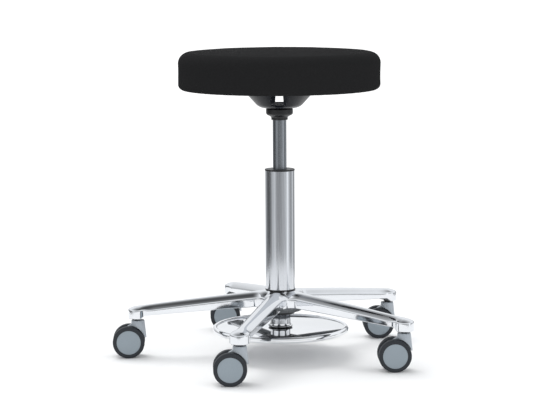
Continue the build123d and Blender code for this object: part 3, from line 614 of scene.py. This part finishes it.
def side_wall(bm, shoulder):
    """Wall of half an arm: rounded shoulder, upright face, rounded lower edge; gives its lowest points."""
    levels, shoulder_levels, face_levels = 26, 8, 20
    ways = outward_ways(shoulder)
    lean = math.tan(math.pi / 2 - SHOULDER_END)
    shoulder_out = SHOULDER_R * (math.sin(SHOULDER_END) - math.sin(SHOULDER_START))
    shoulder_down = SHOULDER_R * (math.cos(SHOULDER_START) - math.cos(SHOULDER_END))
    made = bmesh.ops.create_grid(bm, x_segments=len(shoulder) - 1, y_segments=levels - 1, size=0.5)["verts"]
    low_line = {}
    for vert in made:
        index = round((vert.co.x + 0.5) * (len(shoulder) - 1))
        level = round((vert.co.y + 0.5) * (levels - 1))
        top = shoulder[index].co / MM
        plan = Vector((top.x, top.y))
        wall = top.z - low_level(plan.length) - LOWER_EDGE_R
        height = wall - shoulder_down
        if level <= shoulder_levels:
            turn = SHOULDER_START + (SHOULDER_END - SHOULDER_START) * level / shoulder_levels
            off = SHOULDER_R * (math.sin(turn) - math.sin(SHOULDER_START))
            down = SHOULDER_R * (math.cos(SHOULDER_START) - math.cos(turn))
        elif level <= face_levels:
            share = (level - shoulder_levels) / (face_levels - shoulder_levels)
            off = shoulder_out + height * lean * (share - 0.5 * share * share)
            down = shoulder_down + height * share
        else:
            turn = math.radians(90.0 * (level - face_levels) / (levels - 1 - face_levels))
            off = shoulder_out + height * lean * 0.5 - LOWER_EDGE_R * (1 - math.cos(turn))
            down = wall + LOWER_EDGE_R * math.sin(turn)
        place = plan + ways[index] * off
        vert.co = (place.x * MM, place.y * MM, (top.z - down) * MM)
        if level == levels - 1:
            low_line[index] = vert
    return low_line


def lower_skin(bm, low_line):
    """Unpolished underside of half an arm, with a pocket along it."""
    polished_faces = len(bm.faces)
    wall_t = 5.0
    for vert, row, at_edge, spot, f in star_half(bm, True):
        if at_edge:
            vert.co = low_line[row - HUB_ROWS].co
            continue
        r = spot.length
        floor = HUB_BOTTOM + (low_level(max(r, 51.0)) - HUB_BOTTOM) * smooth(41.0, 53.0, r)
        depth = smooth(54.0, 62.0, r) * (1.0 - smooth(274.0, 280.0, spot.x)) * (1.0 - smooth(0.66, 0.80, f))
        roof = crest_level(max(r, RING_R)) - SHOULDER_DROP * crown(f) - wall_t
        level = floor + max(0.0, roof - floor) * depth
        vert.co = (spot.x * MM, spot.y * MM, level * MM)
    for face in list(bm.faces)[polished_faces:]:
        face.material_index = 1


def five_arms(bm):
    """Mirrors the half arm, sets it in its direction and repeats it round the hub."""
    bmesh.ops.mirror(bm, geom=bm.verts[:] + bm.edges[:] + bm.faces[:], matrix=Matrix.Identity(4),
                     merge_dist=MERGE, axis="Y")
    bmesh.ops.remove_doubles(bm, verts=bm.verts, dist=STAR_MERGE)
    bmesh.ops.rotate(bm, verts=bm.verts, cent=(0, 0, 0), matrix=Matrix.Rotation(HALF_ARM, 3, "Z"))
    arm = bm.verts[:] + bm.edges[:] + bm.faces[:]
    for turn in range(1, ARM_COUNT):
        copy = bmesh.ops.duplicate(bm, geom=arm)["geom"]
        moved = [item for item in copy if isinstance(item, bmesh.types.BMVert)]
        bmesh.ops.rotate(bm, verts=moved, cent=(0, 0, 0), matrix=Matrix.Rotation(turn * 2 * HALF_ARM, 3, "Z"))
    bmesh.ops.remove_doubles(bm, verts=bm.verts, dist=STAR_MERGE)


def cast_star():
    """Five-arm casting: polished top and walls, unpolished underside, and a bore through the hub."""
    bm = bmesh.new()
    shoulder = upper_skin(bm)
    low_line = side_wall(bm, shoulder)
    lower_skin(bm, low_line)
    five_arms(bm)
    # bore between the upper and the lower rim of the hub
    bmesh.ops.bridge_loops(bm, edges=[edge for edge in bm.edges if edge.is_boundary])
    obj = finish_mesh(bm, "star_casting", [materials["cast_aluminium"], materials["cast_raw"]], 50.0)
    put_in_frame(obj, "base", ["base_star"])


# ---------------------------------------------------------------- seat
def clear_of_light(obj):
    """Keeps a seat piece out of shadows and reflections, so that floor and polished base stay evenly lit."""
    obj.visible_shadow = False
    obj.visible_diffuse = False
    obj.visible_glossy = False


def seat_base():
    """Plywood board with eased edges, and the cloth drawn over it up to the bowl's flange."""
    fine = 192
    board = spun("board_panel", tube_outline("seat_board", 5.0, 1.5), "plywood", "seat", ["seat_board"], fine)
    clear_of_light(board)
    low, high = cad("underside_cloth")
    wide = cad_radius("underside_cloth")
    hole_r, ripple, ripples = 89.2, 0.2, 40
    outline = [Vector((hole_r, high.z)), Vector((hole_r, low.z + ripple))]
    for step in range(1, ripples):
        r = hole_r + (wide - hole_r) * step / ripples
        outline.append(Vector((r, low.z + ripple * math.cos(step * 1.3))))
    outline += [Vector((wide, low.z + 0.3)), Vector((wide, high.z))]
    cloth = spun("underside_cover", outline, "underside_fabric", "seat", ["underside_cloth"], fine)
    clear_of_light(cloth)


CUSHION_SHOULDER_R, CUSHION_SHOULDER_H = 26.0, 24.0
CUSHION_CORNER_R = 11.0
WRAP_R = 176.0           # where the cover turned in under the board ends
WRAP_T = 3.5


def cushion_outline(radius, base_z, top_z):
    """Half section of the cushion: crowned top, full shoulder, near-upright side, cover turned in below."""
    crown_fall, side_tuck = 4.6, 0.36
    shoulder_start = radius - CUSHION_SHOULDER_R
    outline = [Vector((0.0, top_z))]
    for step in range(1, 25):
        r = shoulder_start * step / 24
        outline.append(Vector((r, top_z - crown_fall * (r / shoulder_start) ** 3.2)))
    shoulder = outline[-1]
    for step in range(1, 19):
        turn = math.radians(90.0 * step / 18)
        outline.append(Vector((shoulder.x + CUSHION_SHOULDER_R * math.sin(turn) ** 0.92,
                               shoulder.y - CUSHION_SHOULDER_H * (1 - math.cos(turn)) ** 1.04)))
    side_top, side_low = outline[-1].y, base_z + CUSHION_CORNER_R
    for step in range(1, 11):
        share = step / 10
        outline.append(Vector((radius - side_tuck * math.sin(math.pi * share),
                               side_top + (side_low - side_top) * share)))
    for step in range(1, 13):
        turn = math.radians(90.0 * step / 12)
        outline.append(Vector((radius - CUSHION_CORNER_R * (1 - math.cos(turn)),
                               side_low - CUSHION_CORNER_R * math.sin(turn))))
    start = outline[-1].x
    for step in range(1, 9):
        outline.append(Vector((start + (WRAP_R - start) * step / 8, base_z)))
    outline.append(Vector((WRAP_R, base_z + WRAP_T)))
    outline.append(Vector((0.0, base_z + WRAP_T)))
    return outline


def swell(x, y, z, radius, base_z, top_z):
    """How far upholstery moves a point of the cushion's top and side, in mm."""
    r = math.hypot(x, y)
    slow = noise.noise(Vector((x, y, z)) / 70.0)
    fine = noise.noise(Vector((x + 300.0, y, z)) / 24.0)
    amount = (0.7 * slow + 0.18 * fine) * smooth(base_z + 2.0, base_z + 16.0, z) - 0.55
    move = Vector((0.0, 0.0, smooth(top_z - 28.0, top_z - 6.0, z)))
    if r > radius - CUSHION_SHOULDER_R:
        move += Vector((x / r, y / r, 0.0))
    return move * amount


def pleat(x, y, radius):
    """Rise of the turned-in cover between its small pleats, in mm."""
    turn = math.atan2(y, x)
    uneven = 1.4 * noise.noise(Vector((math.cos(turn), math.sin(turn), 0.0)) * 3.0)
    ridge = abs(math.sin(turn * 30.0 + uneven))
    return 1.1 * (1.0 - ridge ** 0.5) * (1.0 - smooth(WRAP_R, radius, math.hypot(x, y)))


def cushion():
    """Upholstered round cushion: crowned top, full sides, cover drawn in under the board in small pleats."""
    low, high = cad("seat_cover")
    radius = cad_radius("seat_cover")
    base_z, top_z = low.z, high.z
    bm = turned(cushion_outline(radius, base_z, top_z), 240)
    bmesh.ops.remove_doubles(bm, verts=bm.verts, dist=MERGE)
    for vert in bm.verts:
        x, y, z = vert.co / MM
        r = math.hypot(x, y)
        under_board = z < base_z + 4.0 and r < WRAP_R + 1.0
        if z > base_z + 0.5 and not under_board:
            vert.co += swell(x, y, z, radius, base_z, top_z) * MM
        if z <= base_z + CUSHION_CORNER_R and r > WRAP_R - 1.0:
            vert.co.z += pleat(x, y, radius) * MM
    obj = finish_mesh(bm, "cushion_cover", [materials["seat_leather"]], 55.0)
    put_in_frame(obj, "seat", ["seat_cover", "seat_foam"])
    clear_of_light(obj)


column_pieces()
seat_post()
foot_disc()
disc_stub()
release_housing()
seat_bowl()
cast_star()
seat_base()
cushion()


# ---------------------------------------------------------------- floor, light and camera
def studio_floor():
    """Pale round floor under the stool."""
    mesh = bpy.data.meshes.new("floor")
    bm = bmesh.new()
    bmesh.ops.create_circle(bm, cap_ends=True, radius=0.85, segments=128)
    bm.to_mesh(mesh)
    bm.free()
    obj = bpy.data.objects.new("floor", mesh)
    bpy.context.scene.collection.objects.link(obj)
    mesh.materials.append(new_material("floor", (0.9, 0.9, 0.9), 0.9, specular=0.0)[0])


def cool(value):
    """Slightly blue white of a given brightness."""
    return 0.96 * value, 0.98 * value, value


def grey(value):
    """Neutral white of a given brightness."""
    return value, value, value


def studio_world():
    """Pale studio: white below and behind, darker gaps between the light panels, dim ceiling."""
    world = bpy.data.worlds.new("studio")
    bpy.context.scene.world = world
    world.use_nodes = True
    tree = world.node_tree
    tree.nodes.clear()
    coords = tree.nodes.new("ShaderNodeTexCoord")
    split = tree.nodes.new("ShaderNodeSeparateXYZ")
    tree.links.new(coords.outputs["Generated"], split.inputs[0])

    def math_node(kind, a, b=None):
        node = tree.nodes.new("ShaderNodeMath")
        node.operation = kind
        for socket, value in zip(node.inputs, (a, b)):
            if value is None:
                continue
            if isinstance(value, float):
                socket.default_value = value
            else:
                tree.links.new(value, socket)
        return node.outputs[0]

    def ramp_node(source, stops, ease=False):
        node = tree.nodes.new("ShaderNodeValToRGB")
        if ease:
            node.color_ramp.interpolation = "EASE"
        fill_ramp(node.color_ramp, stops)
        tree.links.new(source, node.inputs["Fac"])
        return node.outputs["Color"]

    # light panels round the stool: angle from the front and brightness
    panels = [(-180, 0.95), (-140, 0.5), (-115, 0.16), (-98, 0.12), (-82, 0.22), (-62, 0.6), (-46, 0.75),
              (-24, 0.38), (0, 0.38), (22, 0.52), (45, 0.66), (60, 1.25), (70, 0.85), (84, 0.42), (100, 0.45),
              (114, 0.9), (128, 0.35), (150, 0.5), (180, 0.95)]
    back = math_node("MULTIPLY", split.outputs["Y"], -1.0)
    turn = math_node("ARCTAN2", split.outputs["X"], back)
    around = math_node("ADD", math_node("DIVIDE", turn, FULL_TURN), 0.5)
    ring = ramp_node(around, [((angle + 180.0) / 360.0, cool(value)) for angle, value in panels], ease=True)
    # height in the room, from 0 straight below to 1 straight above
    rise = math_node("ADD", math_node("MULTIPLY", split.outputs["Z"], 0.5), 0.5)
    above_panels = ramp_node(rise, [(place, grey(value)) for place, value in (
        (0.0, 1.0), (0.25, 1.0), (0.35, 0.0), (0.58, 0.0), (0.67, 1.0), (1.0, 1.0))])
    ceiling = ramp_node(rise, [
        (0.3, grey(1.0)), (0.6, cool(1.0)), (0.81, cool(1.0)), (0.90, cool(0.6)), (0.955, cool(0.3)),
        (0.99, cool(0.11)), (1.0, (0.07, 0.073, 0.08))])
    mix = tree.nodes.new("ShaderNodeMix")
    mix.data_type = "RGBA"
    tree.links.new(above_panels, mix.inputs["Factor"])
    tree.links.new(ring, mix.inputs[6])
    tree.links.new(ceiling, mix.inputs[7])
    room = tree.nodes.new("ShaderNodeBackground")
    room.inputs["Strength"].default_value = 1.0
    tree.links.new(mix.outputs[2], room.inputs["Color"])
    plain = tree.nodes.new("ShaderNodeBackground")
    plain.inputs["Color"].default_value = (1.0, 1.0, 1.0, 1.0)
    plain.inputs["Strength"].default_value = 1.2
    path = tree.nodes.new("ShaderNodeLightPath")
    choose = tree.nodes.new("ShaderNodeMixShader")
    tree.links.new(path.outputs["Is Camera Ray"], choose.inputs["Fac"])
    tree.links.new(room.outputs[0], choose.inputs[1])
    tree.links.new(plain.outputs[0], choose.inputs[2])
    out = tree.nodes.new("ShaderNodeOutputWorld")
    tree.links.new(choose.outputs[0], out.inputs["Surface"])


def soft_sun(name, strength, spread_deg, ahead):
    """Wide overhead light that draws soft shadows; it isn't seen in reflections."""
    light = bpy.data.lights.new(name, "SUN")
    light.energy = strength
    light.angle = math.radians(spread_deg)
    obj = bpy.data.objects.new(name, light)
    bpy.context.scene.collection.objects.link(obj)
    obj.rotation_euler = Vector(ahead).to_track_quat("-Z", "Y").to_euler()
    obj.visible_glossy = False


def studio_camera():
    """Long lens from seat height, looking slightly down, a hair off level."""
    place = Vector((-0.1709, -3.9607, 0.8268))
    heading, pitch, roll = math.radians(2.325), math.radians(7.475), math.radians(0.31)
    level = math.cos(pitch)
    ahead = Vector((math.sin(heading) * level, math.cos(heading) * level, -math.sin(pitch)))
    right = Vector((math.cos(heading), -math.sin(heading), 0.0))
    up = right.cross(ahead)
    turned_right = right * math.cos(roll) - up * math.sin(roll)
    turned_up = up * math.cos(roll) + right * math.sin(roll)
    data = bpy.data.cameras.new("camera")
    data.lens = 128.445
    data.sensor_width = 36.0
    data.clip_end = 100.0
    obj = bpy.data.objects.new("camera", data)
    bpy.context.scene.collection.objects.link(obj)
    obj.matrix_world = Matrix((
        (turned_right.x, turned_up.x, -ahead.x, place.x),
        (turned_right.y, turned_up.y, -ahead.y, place.y),
        (turned_right.z, turned_up.z, -ahead.z, place.z),
        (0.0, 0.0, 0.0, 1.0),
    ))
    bpy.context.scene.camera = obj


bpy.context.scene.view_settings.view_transform = "Standard"
studio_floor()
studio_world()
soft_sun("key", 1.4, 45.0, (0.3, -0.45, -1.0))
soft_sun("fill", 0.7, 160.0, (0.0, 0.0, -1.0))
studio_camera()
